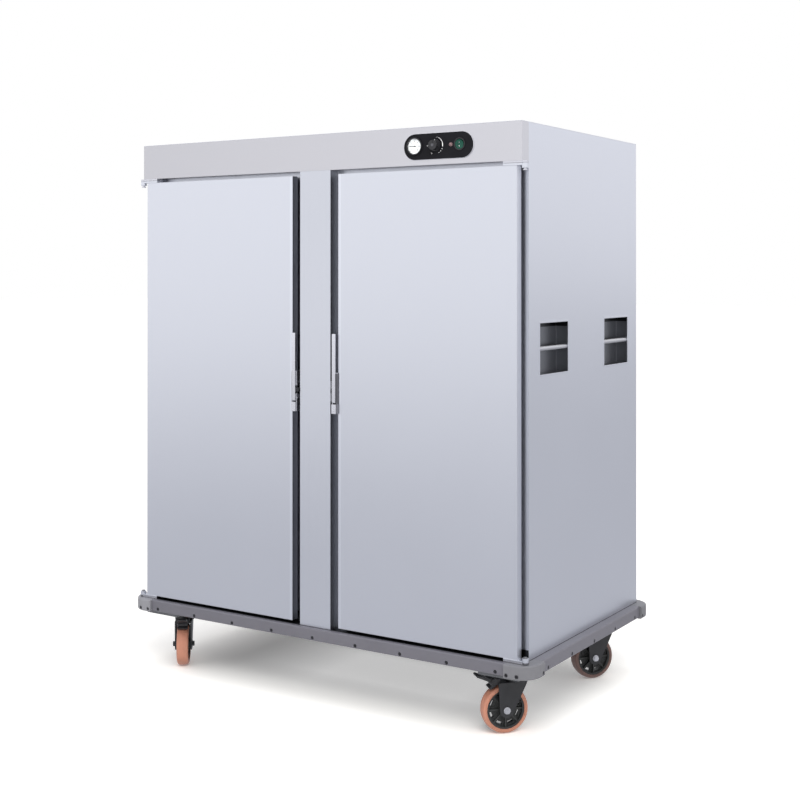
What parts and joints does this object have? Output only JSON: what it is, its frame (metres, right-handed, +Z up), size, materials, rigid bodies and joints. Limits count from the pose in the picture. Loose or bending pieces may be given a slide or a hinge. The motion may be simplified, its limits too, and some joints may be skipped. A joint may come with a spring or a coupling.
{
  "type": "enclosed meal tray cart",
  "caption": "Heated, insulated steel meal cart with hinged full-height doors, lever latches, side grips, a control header, a wrap-round bumper and swivel casters.",
  "frame": {"origin": "on the floor, under the centre of the whole cart's bounding box", "axes": "+Z up, the doors and the control panel face -Y, +X to the right of someone facing the doors"},
  "size_m": [1.496, 0.881, 1.74],
  "materials": {
    "cabinet_steel": "satin brushed sheet",
    "door_steel": "satin brushed sheet",
    "inner_steel": "satin sheet",
    "chassis_steel": "dull zinc-grey",
    "bumper": "matt grey moulded",
    "bright_steel": "bright",
    "insulation": "fibrous",
    "heater": "dull grey tube",
    "motor": "matt",
    "aluminium_parts": "cast, dull",
    "black_plastic": "matt",
    "panel_black": "smooth, low gloss",
    "dial_white": "matt white",
    "clear_lens": "clear",
    "lamp_red": "glossy, translucent",
    "rocker_green": "glossy",
    "gasket_rubber": "matt",
    "caster_black": "satin black",
    "caster_bolt": "zinc",
    "wheel_centre": "matt dark grey",
    "tyre_terracotta": "matt"
  },
  "bodies": {
    "cabinet": {"base_frame": "chassis_steel", "floor_pan": "cabinet_steel", "bumper_rails": "bumper", "bumper_corners": "bumper", "side_panel_left": "cabinet_steel", "side_panel_right": "cabinet_steel", "back_panel": "cabinet_steel", "top_panel": "cabinet_steel", "header_box": "cabinet_steel", "face_frame": "inner_steel", "compartment_liners": "inner_steel", "wall_insulation": "insulation", "grip_bars": "bright_steel", "tray_runners": "inner_steel", "heater_elements": "heater", "fan_motors": "motor", "heater_covers": "inner_steel", "control_plate": "panel_black", "gauge_case": "black_plastic", "gauge_dial": "dial_white", "gauge_lens": "clear_lens", "pilot_lamp": "lamp_red", "switch_housing": "black_plastic", "power_inlet": "black_plastic", "hinge_brackets": "bright_steel", "strike_plates": "bright_steel", "caster_plates": "caster_black"},
    "door_left": {"door_skin_left": "door_steel", "door_liner_left": "inner_steel", "door_gasket_left": "gasket_rubber", "handle_housing_left": "bright_steel"},
    "lever_left": {"handle_lever_left": "bright_steel"},
    "door_right": {"door_skin_right": "door_steel", "door_liner_right": "inner_steel", "door_gasket_right": "gasket_rubber", "handle_housing_right": "bright_steel"},
    "lever_right": {"handle_lever_right": "bright_steel"},
    "pointer": {"gauge_pointer": "black_plastic"},
    "knob": {"thermostat_knob": "black_plastic"},
    "rocker": {"switch_rocker": "rocker_green"},
    "fan_left": {"fan_rotor_left": "aluminium_parts"},
    "fan_right": {"fan_rotor_right": "aluminium_parts"},
    "swivel_front_left": {"caster_fork_front_left": "caster_black", "caster_axle_front_left": "caster_bolt"},
    "wheel_front_left": {"caster_rim_front_left": "wheel_centre", "caster_tyre_front_left": "tyre_terracotta"},
    "pedal_front_left": {"brake_pedal_front_left": "caster_black"},
    "swivel_front_right": {"caster_fork_front_right": "caster_black", "caster_axle_front_right": "caster_bolt"},
    "wheel_front_right": {"caster_rim_front_right": "wheel_centre", "caster_tyre_front_right": "tyre_terracotta"},
    "pedal_front_right": {"brake_pedal_front_right": "caster_black"},
    "swivel_rear_left": {"caster_fork_rear_left": "caster_black", "caster_axle_rear_left": "caster_bolt"},
    "wheel_rear_left": {"caster_rim_rear_left": "wheel_centre", "caster_tyre_rear_left": "tyre_terracotta"},
    "swivel_rear_right": {"caster_fork_rear_right": "caster_black", "caster_axle_rear_right": "caster_bolt"},
    "wheel_rear_right": {"caster_rim_rear_right": "wheel_centre", "caster_tyre_rear_right": "tyre_terracotta"}
  },
  "joints": [
    {"name": "door_left_hinge", "type": "hinge", "parent": "cabinet", "child": "door_left", "pos_m": [-0.716, -0.4115, 0.925], "axis": [0, 0, -1], "range_deg": [0, 265]},
    {"name": "lever_left_pivot", "type": "hinge", "parent": "door_left", "child": "lever_left", "pos_m": [-0.0768, -0.4185, 0.9295], "axis": [1, 0, 0], "range_deg": [0, 15], "stiffness_Nm_per_rad": 1, "springref_deg": -11.46},
    {"name": "door_right_hinge", "type": "hinge", "parent": "cabinet", "child": "door_right", "pos_m": [0.716, -0.4115, 0.925], "axis": [0, 0, 1], "range_deg": [0, 265]},
    {"name": "lever_right_pivot", "type": "hinge", "parent": "door_right", "child": "lever_right", "pos_m": [0.0768, -0.4185, 0.9295], "axis": [1, 0, 0], "range_deg": [0, 15], "stiffness_Nm_per_rad": 1, "springref_deg": -11.46},
    {"name": "gauge_pointer_turn", "type": "hinge", "parent": "cabinet", "child": "pointer", "pos_m": [0.362, -0.4225, 1.684], "axis": [0, 1, 0], "range_deg": [-45, 225]},
    {"name": "thermostat_knob_turn", "type": "hinge", "parent": "cabinet", "child": "knob", "pos_m": [0.4315, -0.4225, 1.684], "axis": [0, 1, 0], "range_deg": [0, 270]},
    {"name": "switch_rocker_tip", "type": "hinge", "parent": "cabinet", "child": "rocker", "pos_m": [0.512, -0.4165, 1.684], "axis": [-1, 0, 0], "range_deg": [0, 16]},
    {"name": "fan_left_spin", "type": "hinge", "parent": "cabinet", "child": "fan_left", "pos_m": [-0.39015, 0.3205, 0.426], "axis": [0, 1, 0], "continuous": true},
    {"name": "fan_right_spin", "type": "hinge", "parent": "cabinet", "child": "fan_right", "pos_m": [0.39015, 0.3205, 0.426], "axis": [0, 1, 0], "continuous": true},
    {"name": "swivel_front_left_turn", "type": "hinge", "parent": "cabinet", "child": "swivel_front_left", "pos_m": [-0.631, -0.3015, 0.155], "axis": [0, 0, 1], "continuous": true},
    {"name": "wheel_front_left_spin", "type": "hinge", "parent": "swivel_front_left", "child": "wheel_front_left", "pos_m": [-0.60813, -0.33185, 0.069], "axis": [0.7986, 0.6018, 0], "continuous": true},
    {"name": "pedal_front_left_press", "type": "hinge", "parent": "swivel_front_left", "child": "pedal_front_left", "pos_m": [-0.58767, -0.359, 0.151], "axis": [0.7986, 0.6018, 0], "range_deg": [0, 10]},
    {"name": "swivel_front_right_turn", "type": "hinge", "parent": "cabinet", "child": "swivel_front_right", "pos_m": [0.631, -0.3015, 0.155], "axis": [0, 0, 1], "continuous": true},
    {"name": "wheel_front_right_spin", "type": "hinge", "parent": "swivel_front_right", "child": "wheel_front_right", "pos_m": [0.60508, -0.32929, 0.069], "axis": [0.7314, -0.682, 0], "continuous": true},
    {"name": "pedal_front_right_press", "type": "hinge", "parent": "swivel_front_right", "child": "pedal_front_right", "pos_m": [0.5819, -0.35416, 0.151], "axis": [0.7314, -0.682, 0], "range_deg": [0, 10]},
    {"name": "swivel_rear_left_turn", "type": "hinge", "parent": "cabinet", "child": "swivel_rear_left", "pos_m": [-0.631, 0.3025, 0.155], "axis": [0, 0, 1], "continuous": true},
    {"name": "wheel_rear_left_spin", "type": "hinge", "parent": "swivel_rear_left", "child": "wheel_rear_left", "pos_m": [-0.6528, 0.27137, 0.069], "axis": [0.8192, -0.5736, 0], "continuous": true},
    {"name": "swivel_rear_right_turn", "type": "hinge", "parent": "cabinet", "child": "swivel_rear_right", "pos_m": [0.631, 0.3025, 0.155], "axis": [0, 0, 1], "continuous": true},
    {"name": "wheel_rear_right_spin", "type": "hinge", "parent": "swivel_rear_right", "child": "wheel_rear_right", "pos_m": [0.6076, 0.27256, 0.069], "axis": [0.788, -0.6157, 0], "continuous": true}
  ]
}
